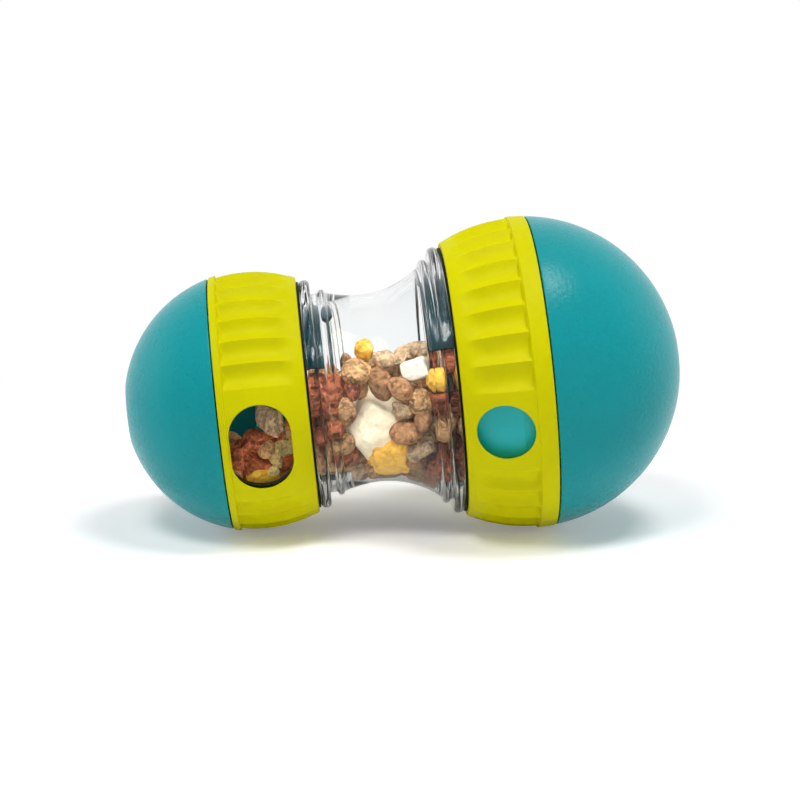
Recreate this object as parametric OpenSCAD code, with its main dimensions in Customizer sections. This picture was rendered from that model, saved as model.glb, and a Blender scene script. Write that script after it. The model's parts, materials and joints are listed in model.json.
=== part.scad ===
// Two-ball treat dispensing toy: a clear hourglass chamber between two teal caps.
// Each cap screws into its end of the chamber and carries a yellow collar that turns
// on it to open or shut an outlet. Millimetres, +Z up. The toy lies on the rims of its
// two collars, the small ball towards -X and the large ball towards +X.

/* [Balls] */
// Diameter of the ball that the small end follows
small_ball_d = 83.5; // [78:0.5:90]
// Diameter of the ball that the large end follows
large_ball_d = 100; // [94:0.5:108]
// Distance between the centres of the two balls
ball_spacing = 86.5; // [84:0.5:98]
// Wall of a dome
dome_wall = 2.4; // [1.8:0.1:3.2]

/* [Collars] */
// Seam of the small dome, outwards from the centre of its ball
small_seam = 11.3; // [8:0.1:13]
// Seam of the large dome, outwards from the centre of its ball
large_seam = 5.1; // [3:0.1:8]
// Width of each collar, from its seam to its edge at the waist
collar_w = 28; // [26:0.5:30]
// Depth of a collar's bore below the surface of its ball
collar_wall = 4.2; // [3.6:0.1:5]
// Wall of a collar at its edge by the waist
edge_wall = 2.4; // [1.8:0.1:3]
// Distance from the centre of the ball to where the bore starts to taper
taper_start = 5; // [3:0.5:8]
// Width of the smooth rim beside the small seam
small_rim_w = 2.6; // [2:0.1:5]
// Width of the smooth rim beside the large seam
large_rim_w = 6; // [3:0.1:8]
// How far the rims stand proud of their balls
rim_proud = 0.3; // [0:0.1:0.6]

/* [Grip] */
// How far the gripping band lies below the surface of its ball
grip_recess = 0.8; // [0.4:0.1:1.2]
// Depth of a flute where it meets the rim
flute_depth = 0.9; // [0.4:0.1:1.2]
// Radius of a flute across its run
flute_r = 4.4; // [4:0.1:6]
// Distance from the edge by the waist at which the flutes run out
flute_fade = 3; // [1:0.5:6]
// Number of flute places round the small collar
small_flutes = 33; // [24:1:34]
// Number of flute places round the large collar
large_flutes = 35; // [26:1:38]
// Flute places left smooth round the small outlet
small_smooth = 5; // [4:1:6]
// Flute places left smooth round the large outlet
large_smooth = 3; // [2:1:4]

/* [Outlets] */
// Width of the slot outlet, along the toy
slot_w = 19; // [12:0.5:20]
// Length of the slot outlet, round the toy
slot_l = 27.7; // [22:0.1:30]
// Diameter of the round outlet
round_d = 17.6; // [10:0.1:20]
// Distance of the slot outlet's centre from the small seam
slot_in = 12.5; // [11:0.5:15]
// Distance of the round outlet's centre from the large seam
round_in = 15.8; // [14:0.1:17]
// Angle of the outlets below level
outlet_drop = 11; // [0:1:30]
// How much larger a sleeve's window is than its outlet, all round
window_margin = 1; // [0.5:0.1:1.5]
// Turn of the large sleeve's window away from its outlet, which shuts it
shut_turn = 70; // [40:1:90]

/* [Waist] */
// Outer diameter of the throat
throat_d = 60.4; // [54:0.2:62]
// Distance of the throat from the centre of the small ball
throat_in = 37; // [34:0.5:40]
// Wall of the clear chamber
waist_wall = 2.3; // [1.8:0.1:2.8]
// Thickness of a flange
flange_w = 3.4; // [2.8:0.1:4]
// How far a flange lies below the edge of its collar
flange_inset = 0.7; // [0.3:0.1:1.5]
// Depth of the groove behind a flange
groove_depth = 4.7; // [3.6:0.1:5.2]
// Height of the lip above its groove
lip_h = 1.1; // [0.8:0.1:1.6]
// Rounding of the lip
lip_round = 1.3; // [0.9:0.1:1.5]
// Distance of the small lip's crest from the face of its flange
small_lip_in = 6.9; // [6.2:0.1:8]
// Distance of the large lip's crest from the face of its flange
large_lip_in = 5.4; // [5:0.1:7]

/* [Screw necks] */
// Travel of a cap along the toy in one full turn
thread_lead = 13; // [10:0.5:14]
// Height of a thread ridge
ridge_h = 1; // [0.7:0.1:1.2]
// Thickness of a thread ridge at its root
ridge_w = 1.4; // [1:0.1:1.6]
// Thickness of a thread ridge at its tip
ridge_tip_w = 0.9; // [0.5:0.1:1]
// Angle that a thread ridge covers
ridge_arc = 76; // [50:1:80]
// Angle that a tongue covers
tongue_arc = 90; // [84:1:110]
// Angle from an outlet to the middle of the nearer tongue
tongue_clock = 83; // [70:1:100]
// Wall of a tongue
tongue_wall = 1.6; // [1.2:0.1:1.8]
// Length of a tongue past the face of the flange
tongue_len = 6.3; // [6.2:0.1:7.5]
// Width of the round nose on each tongue of the small sleeve
nose_w = 10; // [6:0.5:12]
// How far the faces of the nose lie below those of its tongue
nose_step = 0.2; // [0.1:0.05:0.4]

/* [Sleeves] */
// Wall of a sleeve
sleeve_wall = 2; // [1.9:0.1:2.6]
// Thickness of a sleeve's shoulder
shoulder_t = 2; // [1.5:0.1:3]
// Step from a sleeve's drum down to its tail
tail_step = 1.7; // [1.2:0.1:2.4]
// Depth of the socket in a dome that holds the tail
socket_len = 5; // [3:0.5:7]

/* [Seals] */
// Thickness of a seal washer
seal_t = 0.6; // [0.5:0.1:1.2]
// How far a seal washer lies below the rim of its flange
seal_inset = 0.4; // [0.2:0.1:1]

/* [Clearances] */
// Gap between a sleeve and the collar that turns on it
gate_gap = 0.3; // [0.3:0.05:0.6]
// Gap between a collar's rim and its dome
seam_gap = 0.4; // [0.3:0.05:0.8]
// Gap on each face of a seal washer
seal_gap = 0.1; // [0.05:0.05:0.2]
// Gap between the thread ridges, along the toy and at their tips
thread_gap = 0.3; // [0.3:0.05:0.5]
// Gap between a sleeve's tail and its socket
socket_gap = 0.05; // [0.02:0.01:0.1]

/* [Hidden] */
$fn = 128;

TEAL = [0.14, 0.56, 0.57];
YELLOW = [0.81, 0.79, 0.05];
CLEAR = [0.93, 0.95, 0.94, 0.4];
DARK = [0.10, 0.16, 0.15];

// Steps of a thread ridge along its arc, and how deep its root sits in the wall
ridge_steps = 10;
ridge_root = 0.5;
// Least flare of the waist, below which its wall counts as straight
least_flare = 0.05;
// How far a cutting shape runs past the surface that it cuts
past = 1;

// Radius of a ball's slice at a height above its centre
function slice_r(ball_r, z) = sqrt(ball_r * ball_r - z * z);

small_r = small_ball_d / 2;
large_r = large_ball_d / 2;
throat_r = throat_d / 2;

// Heights along an end, outwards from the centre of its ball
function edge_z(seam) = seam - collar_w;
function flange_z(seam) = edge_z(seam) - 2 * seal_gap - seal_t;
function tongue_z(seam) = flange_z(seam) - tongue_len;

// Radii of an end, from the ball inwards
function edge_r(ball_r, seam) = slice_r(ball_r - grip_recess, edge_z(seam));
function bore_r(ball_r) = ball_r - collar_wall;
function edge_bore_r(ball_r, seam) = edge_r(ball_r, seam) - edge_wall;
function drum_r(ball_r) = bore_r(ball_r) - gate_gap;
function tail_r(ball_r) = drum_r(ball_r) - tail_step;
function flange_r(ball_r, seam) = edge_r(ball_r, seam) - flange_inset;
function groove_r(ball_r, seam) = flange_r(ball_r, seam) - groove_depth;
function neck_r(ball_r, seam) = groove_r(ball_r, seam) - waist_wall;
function spigot_r(ball_r, seam) = neck_r(ball_r, seam) - ridge_h - thread_gap;

// Heights of the thread ridges at the middle of their arcs
ridge_rise = thread_lead * ridge_arc / 360;
function neck_ridge_z(seam) = flange_z(seam) - (ridge_rise + ridge_w) / 2 - seal_gap;
function tongue_ridge_z(seam) = neck_ridge_z(seam) - ridge_w - thread_gap;

// The two rims touch the floor at their inner edges, which sets the lie of the toy
small_foot_s = small_rim_w - small_seam;
large_foot_s = ball_spacing + large_seam - large_rim_w;
small_foot_r = slice_r(small_r + rim_proud, small_foot_s);
large_foot_r = slice_r(large_r + rim_proud, large_seam - large_rim_w);
lie_tilt = atan2(large_foot_r - small_foot_r, large_foot_s - small_foot_s);
lie_z = small_foot_r * cos(lie_tilt) - small_foot_s * sin(lie_tilt);
lie_x = (small_r - large_r - ball_spacing * cos(lie_tilt)) / 2;

// Lays the toy, built along X from the centre of the small ball, on the floor
module lie() translate([lie_x, 0, lie_z]) rotate([0, -lie_tilt, 0]) children();

// Each end is built along Z from the centre of its ball, with its outlet towards +X
module small_end() lie() rotate([0, -90, 0]) rotate(-90 - outlet_drop) children();
module large_end()
    lie() translate([ball_spacing, 0, 0]) rotate([0, 90, 0]) rotate(outlet_drop - 90) children();

// Region of a profile between two heights, out to a radius
module band(r, z_low, z_high) translate([0, z_low]) square([r, z_high - z_low]);

// Rib of a profile with straight sides and a rounded crest
module rib(w, r_low, r_crest) {
    crest_round = 0.6 * w;
    crest_mid = r_crest - crest_round;
    translate([r_low, -w / 2]) square([crest_mid - r_low, w]);
    intersection() {
        translate([crest_mid, 0]) circle(crest_round);
        translate([r_low, -w / 2]) square([r_crest - r_low + past, w]);
    }
}

// Helical ridge that stands on a wall at r_root and ends at r_tip
module ridge(r_root, r_tip, z_mid) {
    side = sign(r_tip - r_root);
    corners = [
        [r_root, -side * ridge_w / 2], [r_tip, -side * ridge_tip_w / 2],
        [r_tip, side * ridge_tip_w / 2], [r_root, side * ridge_w / 2]
    ];
    points = [
        for (k = [0 : ridge_steps])
            let (a = ridge_arc * (k / ridge_steps - 0.5))
            for (c = corners) [c[0] * cos(a), c[0] * sin(a), z_mid + thread_lead * a / 360 + c[1]]
    ];
    walls = [
        for (k = [0 : ridge_steps - 1])
            for (i = [0 : 3])
                let (p = 4 * k + i, q = 4 * k + (i + 1) % 4)
                for (f = [[p, q, q + 4], [p, q + 4, p + 4]]) f
    ];
    last = 4 * ridge_steps;
    ends = [[2, 1, 0], [3, 2, 0], [last, last + 1, last + 2], [last, last + 2, last + 3]];
    polyhedron(points, concat(walls, ends));
}

// Copies round an end at its two tongues
module at_tongues(clock) for (turn = [clock, clock + 180]) rotate(turn) children();

// Prism of the slot outlet, grown all round by a margin
module slot_prism(margin) {
    w = slot_w + 2 * margin;
    straight = slot_l - slot_w;
    translate([0, 0, small_seam - slot_in]) rotate([0, 90, 0]) linear_extrude(small_r + past) {
        square([w, straight], center = true);
        for (y = [-straight / 2, straight / 2]) translate([0, y]) circle(d = w);
    }
}

// Prism of the round outlet, grown all round by a margin
module round_prism(margin)
    translate([0, 0, large_seam - round_in]) rotate([0, 90, 0])
        cylinder(d = round_d + 2 * margin, h = large_r + past);

// Cutter of one flute, along the chord of the gripping band from the rim to the fade
module flute(ball_r, seam, rim_w) {
    grip_r = ball_r - grip_recess;
    z_rim = seam - rim_w;
    z_fade = edge_z(seam) + flute_fade;
    r_rim = slice_r(grip_r, z_rim) - flute_depth;
    lean = atan2(r_rim - slice_r(grip_r, z_fade), z_rim - z_fade);
    translate([r_rim, 0, z_rim]) rotate([0, 180 + lean, 0]) translate([-flute_r, 0, 0])
        cylinder(r = flute_r, h = collar_w);
}

// Ring of a collar with its gripping flutes, before its outlet is cut
module collar_ring(ball_r, seam, rim_w, flutes, smooth) {
    edge = edge_z(seam);
    bore = bore_r(ball_r);
    edge_bore = edge_bore_r(ball_r, seam);
    taper = (bore - edge_bore) / (-taper_start - edge);
    difference() {
        rotate_extrude() difference() {
            union() {
                intersection() {
                    circle(ball_r - grip_recess);
                    band(ball_r, edge, seam - rim_w);
                }
                intersection() {
                    circle(ball_r + rim_proud);
                    band(ball_r + past, seam - rim_w, seam - seam_gap);
                }
            }
            polygon([
                [0, edge - past], [edge_bore - taper * past, edge - past],
                [bore, -taper_start], [bore, seam + past], [0, seam + past]
            ]);
        }
        for (i = [smooth / 2 : flutes - 1 - smooth / 2])
            rotate((i + 0.5) * 360 / flutes) flute(ball_r, seam, rim_w);
    }
}

// Sleeve of a cap: tail, drum and taper, with a shoulder and two threaded tongues
module sleeve_body(ball_r, seam, clock) {
    edge = edge_z(seam);
    drum = drum_r(ball_r);
    tail = tail_r(ball_r);
    tail_end = seam + socket_len - seam_gap;
    edge_out = edge_bore_r(ball_r, seam) - gate_gap;
    spigot = spigot_r(ball_r, seam);
    spigot_in = spigot - sleeve_wall;
    taper = (drum - edge_out) / (-taper_start - edge);
    shoulder = edge + shoulder_t;
    tongue_end = tongue_z(seam);
    rotate_extrude() polygon([
        [tail - sleeve_wall, tail_end], [tail, tail_end], [tail, seam], [drum, seam],
        [drum, -taper_start], [edge_out, edge], [spigot_in, edge], [spigot_in, shoulder],
        [edge_out + taper * shoulder_t - sleeve_wall, shoulder],
        [drum - sleeve_wall, -taper_start], [drum - sleeve_wall, seam - sleeve_wall],
        [tail - sleeve_wall, seam]
    ]);
    at_tongues(clock) {
        rotate(-tongue_arc / 2) rotate_extrude(angle = tongue_arc)
            translate([spigot - tongue_wall, tongue_end])
                square([tongue_wall, edge + shoulder_t / 2 - tongue_end]);
        ridge(spigot - ridge_root, spigot + ridge_h, tongue_ridge_z(seam));
    }
}

// Round noses that lead the tongues of the small sleeve into its neck
module tongue_noses() {
    spigot = spigot_r(small_r, small_seam);
    tongue_end = tongue_z(small_seam);
    at_tongues(tongue_clock) intersection() {
        rotate_extrude() translate([spigot - tongue_wall + nose_step, tongue_end - nose_w])
            square([tongue_wall - 2 * nose_step, 2 * nose_w]);
        translate([0, 0, tongue_end + nose_w / 4]) rotate([0, 90, 0])
            cylinder(d = nose_w, h = spigot + past);
    }
}

// Dome of a cap: part of a ball with a socket for the sleeve's tail
module dome_body(ball_r, seam) {
    socket = tail_r(ball_r) + socket_gap;
    socket_end = seam + socket_len;
    rotate_extrude() difference() {
        intersection() {
            circle(ball_r);
            band(ball_r, seam, ball_r + past);
        }
        intersection() {
            circle(ball_r - dome_wall);
            band(ball_r, socket_end, ball_r);
        }
        band(socket, seam - past, socket_end);
    }
}

// Washer between a sleeve's shoulder and the flange
module seal_body(ball_r, seam) {
    r_in = neck_r(ball_r, seam) + thread_gap;
    r_out = flange_r(ball_r, seam) - seal_inset;
    rotate_extrude() translate([r_in, flange_z(seam) + seal_gap]) square([r_out - r_in, seal_t]);
}

// Wall of a waist profile from the throat to a height, curved in or out by its flare
module curved_wall(z_end, flare) {
    side = flare < 0 ? -1 : 1;
    rise = max(abs(flare), least_flare);
    arc_r = (z_end * z_end + rise * rise) / (2 * rise);
    intersection() {
        translate([throat_r + side * arc_r, 0]) difference() {
            circle(max(arc_r, arc_r + side * waist_wall));
            circle(min(arc_r, arc_r + side * waist_wall));
        }
        band(throat_r + rise + past, 0, z_end);
    }
}

// Height at which the inside of a curved wall meets a bore, at most the height of its end
function meet_z(z_end, flare, bore) =
    let (arc_r = (z_end * z_end + flare * flare) / (2 * max(flare, least_flare)))
    let (inner_r = arc_r + waist_wall)
    let (to_bore = throat_r + arc_r - bore)
    flare < least_flare ? z_end : min(z_end, sqrt(max(0, inner_r * inner_r - to_bore * to_bore)));

// Profile of one half of the waist, from the throat to the flange of an end.
// Its height runs from the throat, and face is the distance to the flange's face.
module half_waist(ball_r, seam, face, lip_in) {
    neck = neck_r(ball_r, seam);
    groove = groove_r(ball_r, seam);
    lip_z = face - lip_in;
    lip_r = groove + lip_h;
    flare = lip_r - lip_round / 2 - throat_r;
    neck_start = max(past, meet_z(lip_z, flare, neck) - ridge_root);
    difference() {
        union() {
            curved_wall(lip_z, flare);
            translate([lip_r - lip_round, lip_z]) circle(lip_round);
            translate([neck, neck_start]) square([groove - neck, face - flange_w / 2 - neck_start]);
            translate([0, face - flange_w / 2]) rib(flange_w, neck, flange_r(ball_r, seam));
        }
        band(neck, face - tongue_len - thread_gap, face + past);
    }
}

module waist() color(CLEAR) {
    small_face = throat_in + flange_z(small_seam);
    large_face = ball_spacing - throat_in + flange_z(large_seam);
    lie() translate([throat_in, 0, 0]) rotate([0, 90, 0]) rotate_extrude() {
        half_waist(large_r, large_seam, large_face, large_lip_in);
        mirror([0, 1]) half_waist(small_r, small_seam, small_face, small_lip_in);
    }
    small_end() at_tongues(tongue_clock) {
        neck = neck_r(small_r, small_seam);
        ridge(neck + ridge_root, neck - ridge_h, neck_ridge_z(small_seam));
    }
    large_end() at_tongues(-tongue_clock) {
        neck = neck_r(large_r, large_seam);
        ridge(neck + ridge_root, neck - ridge_h, neck_ridge_z(large_seam));
    }
}

module small_collar() color(YELLOW) small_end() difference() {
    collar_ring(small_r, small_seam, small_rim_w, small_flutes, small_smooth);
    slot_prism(0);
}

module small_sleeve() color(TEAL) small_end() difference() {
    union() {
        sleeve_body(small_r, small_seam, tongue_clock);
        tongue_noses();
    }
    slot_prism(window_margin);
}

module small_dome() color(TEAL) small_end() dome_body(small_r, small_seam);

module small_seal() color(DARK) small_end() seal_body(small_r, small_seam);

module large_collar() color(YELLOW) large_end() difference() {
    collar_ring(large_r, large_seam, large_rim_w, large_flutes, large_smooth);
    round_prism(0);
}

module large_sleeve() color(TEAL) large_end() difference() {
    sleeve_body(large_r, large_seam, -tongue_clock);
    rotate(shut_turn) round_prism(window_margin);
}

module large_dome() color(TEAL) large_end() dome_body(large_r, large_seam);

module large_seal() color(DARK) large_end() seal_body(large_r, large_seam);

waist();
small_collar();
small_sleeve();
small_dome();
small_seal();
large_collar();
large_sleeve();
large_dome();
large_seal();
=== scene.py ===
import json
import math

import bpy
import numpy as np
from bpy.props import FloatProperty, FloatVectorProperty, IntProperty, PointerProperty
from mathutils import Euler, Matrix, Vector


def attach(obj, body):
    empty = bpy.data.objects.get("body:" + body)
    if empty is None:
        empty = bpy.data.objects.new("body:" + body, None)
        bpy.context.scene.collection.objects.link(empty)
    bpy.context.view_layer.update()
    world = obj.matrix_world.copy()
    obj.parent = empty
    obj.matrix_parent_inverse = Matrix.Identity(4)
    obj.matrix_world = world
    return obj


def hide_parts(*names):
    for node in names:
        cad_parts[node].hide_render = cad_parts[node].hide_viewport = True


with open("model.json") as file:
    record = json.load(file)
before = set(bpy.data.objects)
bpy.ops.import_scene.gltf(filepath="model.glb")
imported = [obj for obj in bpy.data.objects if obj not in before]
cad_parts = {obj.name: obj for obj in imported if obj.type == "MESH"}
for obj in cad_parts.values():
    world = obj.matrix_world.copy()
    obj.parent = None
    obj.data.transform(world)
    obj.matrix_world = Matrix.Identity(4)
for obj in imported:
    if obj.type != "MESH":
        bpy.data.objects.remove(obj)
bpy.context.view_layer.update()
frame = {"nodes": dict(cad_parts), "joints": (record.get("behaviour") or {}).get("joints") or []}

bl_info = {
    "name": "Two-ball treat dispenser",
    "version": (1, 0, 0),
    "blender": (4, 5, 0),
    "location": "View3D > Sidebar > Treat dispenser",
    "description": "Dresses the packed treat dispenser with its shells, clear waist and treats",
    "category": "Object",
}

MM = 0.001
FULL_TURN = 2 * math.pi
JOINTS = {joint["name"]: joint for joint in frame["joints"]}
NEAR = Vector((0, -1, 0))

# Turn of a tongue's middle round the toy, up from the near side, and half the turn that it takes up
TONGUE_MIDDLE = math.radians(72)
TONGUE_HALF = math.radians(54)


# Sizes and colours

def length(label, text, mm):
    """A length in metres, given in millimetres."""
    return FloatProperty(name=label, description=text, default=mm * MM, min=0, unit="LENGTH")


def height(label, text, mm):
    """A height along an end, outwards from the middle of its ball, given in millimetres."""
    return FloatProperty(name=label, description=text, default=mm * MM, unit="LENGTH")


def whole_number(label, text, number):
    return IntProperty(name=label, description=text, default=number)


def colour(label, text, red, green, blue):
    """A colour given as display values from 0 to 255."""
    display = [value / 255 for value in (red, green, blue)]
    linear = [v / 12.92 if v <= 0.04045 else ((v + 0.055) / 1.055) ** 2.4 for v in display]
    return FloatVectorProperty(
        name=label, description=text, default=linear, size=3, min=0, max=1, subtype="COLOR"
    )


def end_fields(
    ball_r, seam, edge, rim_w, bore_r, edge_bore_r, dome_in_r, socket_r, flutes, smooth,
    outlet_z, outlet_w, outlet_l,
):
    """Fields for the sizes of one end, with lengths given in millimetres."""
    return {
        "ball_r": length("Ball radius", "Radius of the dome", ball_r),
        "seam": height("Seam", "Height of the seam between dome and collar", seam),
        "edge": height("Edge", "Height of the collar's edge by the waist", edge),
        "rim_w": length("Rim width", "Width of the smooth rim beside the seam", rim_w),
        "bore_r": length("Bore", "Radius inside the collar", bore_r),
        "edge_bore_r": length("Edge bore", "Radius inside the collar at its edge", edge_bore_r),
        "dome_in_r": length("Inside of dome", "Radius inside the dome", dome_in_r),
        "socket_r": length("Socket", "Radius of the socket in the dome", socket_r),
        "flutes": whole_number("Flutes", "Flute places round the collar", flutes),
        "smooth": whole_number("Smooth places", "Flute places left smooth", smooth),
        "outlet_z": height("Outlet height", "Height of the middle of the outlet", outlet_z),
        "outlet_w": length("Outlet width", "Width of the outlet along the toy", outlet_w),
        "outlet_l": length("Outlet length", "Length of the outlet round the collar", outlet_l),
    }


class SmallEndSizes(bpy.types.PropertyGroup):
    """Sizes of the small end"""

    __annotations__ = end_fields(
        ball_r=41.75, seam=11.3, edge=-16.7, rim_w=2.6, bore_r=37.55, edge_bore_r=34.99, dome_in_r=39.35,
        socket_r=35.6, flutes=33, smooth=5, outlet_z=-1.2, outlet_w=19, outlet_l=27.7,
    )


class LargeEndSizes(bpy.types.PropertyGroup):
    """Sizes of the large end"""

    __annotations__ = end_fields(
        ball_r=50, seam=5.1, edge=-22.9, rim_w=6, bore_r=45.8, edge_bore_r=41.15, dome_in_r=47.6,
        socket_r=43.85, flutes=35, smooth=3, outlet_z=-10.7, outlet_w=17.6, outlet_l=17.6,
    )


class ShellSizes(bpy.types.PropertyGroup):
    """Sizes that both ends share"""

    grip_recess: length("Grip recess", "Depth of the gripping band below its ball", 0.5)
    rim_proud: length("Rim height", "How far a rim stands proud of its ball", 0.1)
    seam_gap: length("Seam gap", "Gap between a rim and its dome", 0.4)
    taper_start: height("Taper start", "Height at which a collar's bore starts to taper", -5)
    socket_len: length("Socket depth", "Depth of the socket in a dome", 5)
    flute_depth: length("Flute depth", "Depth of a flute in the middle of its run", 1.8)
    flute_fade: length("Flute fade", "Distance from the edge at which flutes run out", 1.2)
    flute_run: length("Flute run-in", "Distance over which a flute gains its depth", 7)
    edge_round: length("Edge rounding", "Rounding of the moulded edges", 0.45)
    outlet_lip: length("Outlet lip", "Rounding of an outlet's edge", 0.55)
    outlet_draft: FloatProperty(
        name="Outlet draft", description="Widening of an outlet towards the inside", default=0.36
    )
    outlet_drop: FloatProperty(
        name="Outlet drop", description="Angle of the outlets below level", default=math.radians(11),
        subtype="ANGLE",
    )


class WaistSizes(bpy.types.PropertyGroup):
    """Sizes of the clear waist"""

    throat_r: length("Throat", "Outer radius of the throat", 30.2)
    throat_s: length("Throat place", "Distance of the throat from the small ball's middle", 37)
    wall: length("Neck wall", "Wall of the clear necks", 2.3)
    chamber_wall: length("Chamber wall", "Wall of the clear chamber between the necks", 0.7)
    flange_w: length("Flange width", "Thickness of a flange", 3.4)
    lip_h: length("Lip height", "Height of the lip above its groove", 1.1)
    lip_round: length("Lip rounding", "Rounding of the lip", 1.3)
    tongue_room: length("Tongue room", "Depth of the bore that takes the tongues", 6.6)
    lead: length("Thread lead", "Travel of a cap in one full turn", 13)
    ridge_h: length("Ridge height", "Height of a thread ridge", 0.35)
    small_face: length("Small flange face", "Distance of the face from the throat", 19.5)
    small_flange_r: length("Small flange", "Radius of the small flange", 36.69)
    small_groove_r: length("Small groove", "Radius in the small groove", 31.99)
    small_lip: length("Small lip", "Distance of the small lip from the throat", 12.6)
    large_face: length("Large flange face", "Distance of the face from the throat", 25.8)
    large_flange_r: length("Large flange", "Radius of the large flange", 42.85)
    large_groove_r: length("Large groove", "Radius in the large groove", 38.15)
    large_lip: length("Large lip", "Distance of the large lip from the throat", 20.4)


class FinishColours(bpy.types.PropertyGroup):
    """Colours of the finishes"""

    teal: colour("Teal", "Domes and sleeves", 15, 148, 154)
    # Painted shade: the deep teal that the sleeves turn to inside the necks and at the window's edge by the
    # slot, where they lie in shade
    painted_shade_teal: colour("Deep teal", "Tongues of the sleeves inside the necks", 2, 40, 46)
    yellow: colour("Yellow", "Collars", 211, 206, 1)
    clear: colour("Clear", "Waist", 250, 252, 252)
    # The washers' near-black is partly their own colour and partly painted shade: it gives the dark shadow
    # line between a collar and its clear flange
    seal: colour("Seal", "Washers", 9, 15, 15)
    tan: colour("Tan", "Round kibble", 200, 154, 106)
    brown: colour("Brown", "Oval kibble", 168, 122, 84)
    russet: colour("Russet", "Meaty chunks", 156, 87, 59)
    cream: colour("Cream", "Cream chunk", 255, 237, 205)
    amber: colour("Amber", "Yellow crumbly pieces", 255, 188, 72)
    pale: colour("Pale", "Pale round biscuit", 255, 218, 148)
    gold: colour("Gold", "Large crumbly piece", 255, 194, 82)
    white: colour("White", "White cube", 240, 232, 216)
    beige: colour("Beige", "Pale crumbly pieces", 222, 186, 146)


# Modelling helpers

def deselect():
    """Clears the selection, which the loaded frame leaves on its nodes."""
    bpy.ops.object.select_all(action="DESELECT")


def take(piece):
    """Makes a piece the only selected and active one."""
    deselect()
    piece.select_set(True)
    bpy.context.view_layer.objects.active = piece


def name_piece(name):
    """Names the piece that an operator has just added."""
    piece = bpy.context.object
    piece.name = name
    piece.data.name = name
    return piece


def set_points(piece, points):
    piece.data.vertices.foreach_set("co", np.asarray(points, float).ravel())
    piece.data.update()


def get_points(piece):
    points = np.zeros(len(piece.data.vertices) * 3)
    piece.data.vertices.foreach_get("co", points)
    return points.reshape(-1, 3)


def clean_up(piece, fill=False):
    """Merges doubled points, fills open ends if asked to, and turns the faces outwards."""
    take(piece)
    bpy.ops.object.mode_set(mode="EDIT")
    bpy.ops.mesh.select_all(action="SELECT")
    bpy.ops.mesh.remove_doubles(threshold=1e-6)
    if fill:
        bpy.ops.mesh.fill_holes(sides=0)
        bpy.ops.mesh.select_all(action="SELECT")
    bpy.ops.mesh.normals_make_consistent(inside=False)
    bpy.ops.object.mode_set(mode="OBJECT")


def apply_modifier(piece, modifier):
    take(piece)
    bpy.ops.object.modifier_apply(modifier=modifier.name)


def lathe(name, profile, steps, open_axis=False):
    """Spins a profile of (radius, height) points round Z. With open_axis its ends are on the axis."""
    deselect()
    bpy.ops.mesh.primitive_circle_add(vertices=len(profile), radius=0.01)
    piece = name_piece(name)
    set_points(piece, [(radius, 0, z) for radius, z in profile])
    if open_axis:
        ends = {0, len(profile) - 1}
        bpy.ops.object.mode_set(mode="EDIT")
        bpy.ops.mesh.select_mode(type="EDGE")
        bpy.ops.mesh.select_all(action="DESELECT")
        bpy.ops.object.mode_set(mode="OBJECT")
        for edge in piece.data.edges:
            edge.select = set(edge.vertices) == ends
        bpy.ops.object.mode_set(mode="EDIT")
        bpy.ops.mesh.delete(type="EDGE")
        bpy.ops.mesh.select_mode(type="VERT")
        bpy.ops.object.mode_set(mode="OBJECT")
    screw = piece.modifiers.new("turn", "SCREW")
    screw.axis = "Z"
    screw.angle = FULL_TURN
    screw.steps = screw.render_steps = steps
    screw.use_merge_vertices = True
    apply_modifier(piece, screw)
    clean_up(piece)
    return piece


def rolled_grid(name, rows):
    """A grid whose rows of points close on themselves, with its two ends filled."""
    rows = np.asarray(rows, float)
    count, around = rows.shape[:2]
    deselect()
    bpy.ops.mesh.primitive_grid_add(x_subdivisions=around, y_subdivisions=count - 1, size=0.01)
    piece = name_piece(name)
    closed = np.concatenate([rows, rows[:, :1]], axis=1)
    set_points(piece, closed.reshape(-1, 3))
    clean_up(piece, fill=True)
    return piece


def press(piece, name, weights, depth):
    """Moves points along their normals by depth times their weights."""
    group = piece.vertex_groups.new(name=name)
    for index in np.nonzero(weights > 1e-4)[0]:
        group.add([int(index)], float(weights[index]), "REPLACE")
    displace = piece.modifiers.new(name, "DISPLACE")
    displace.vertex_group = name
    displace.mid_level = 0
    displace.strength = depth
    apply_modifier(piece, displace)
    piece.vertex_groups.remove(piece.vertex_groups[name])


def cut(piece, cutter):
    """Cuts one piece with another, which is used up."""
    difference = piece.modifiers.new("cut", "BOOLEAN")
    difference.operation = "DIFFERENCE"
    difference.solver = "EXACT"
    difference.object = cutter
    apply_modifier(piece, difference)
    bpy.data.objects.remove(cutter)


def smooth(piece, degrees):
    take(piece)
    bpy.ops.object.shade_smooth_by_angle(angle=math.radians(degrees))


def put(piece, place):
    """Moves a finished piece to its place, which goes into its mesh."""
    take(piece)
    piece.matrix_world = place
    bpy.ops.object.transform_apply(location=True, rotation=True, scale=True)


def finish_piece(piece, material, body, stands_for=None):
    """Gives a piece its material and its body, and hides the node that it stands for."""
    piece.data.materials.clear()
    piece.data.materials.append(material)
    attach(piece, body)
    if stands_for:
        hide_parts(stands_for)


# Profiles, as (radius, height) points in metres

def ball_run(ball_r, low, high, count):
    """Points on a ball from one height to another."""
    angles = np.linspace(math.asin(low / ball_r), math.asin(high / ball_r), count)
    return [(ball_r * math.cos(a), ball_r * math.sin(a)) for a in angles]


def line_run(start, end, count):
    shares = np.linspace(0, 1, count)
    return [(start[0] + (end[0] - start[0]) * t, start[1] + (end[1] - start[1]) * t) for t in shares]


def soft_corner(start, corner, end, count=4):
    """Points between two runs that round the corner where they would meet."""
    shares = np.linspace(0, 1, count + 2)[1:-1]
    return [
        tuple((1 - t) ** 2 * start[i] + 2 * t * (1 - t) * corner[i] + t * t * end[i] for i in (0, 1))
        for t in shares
    ]


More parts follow.
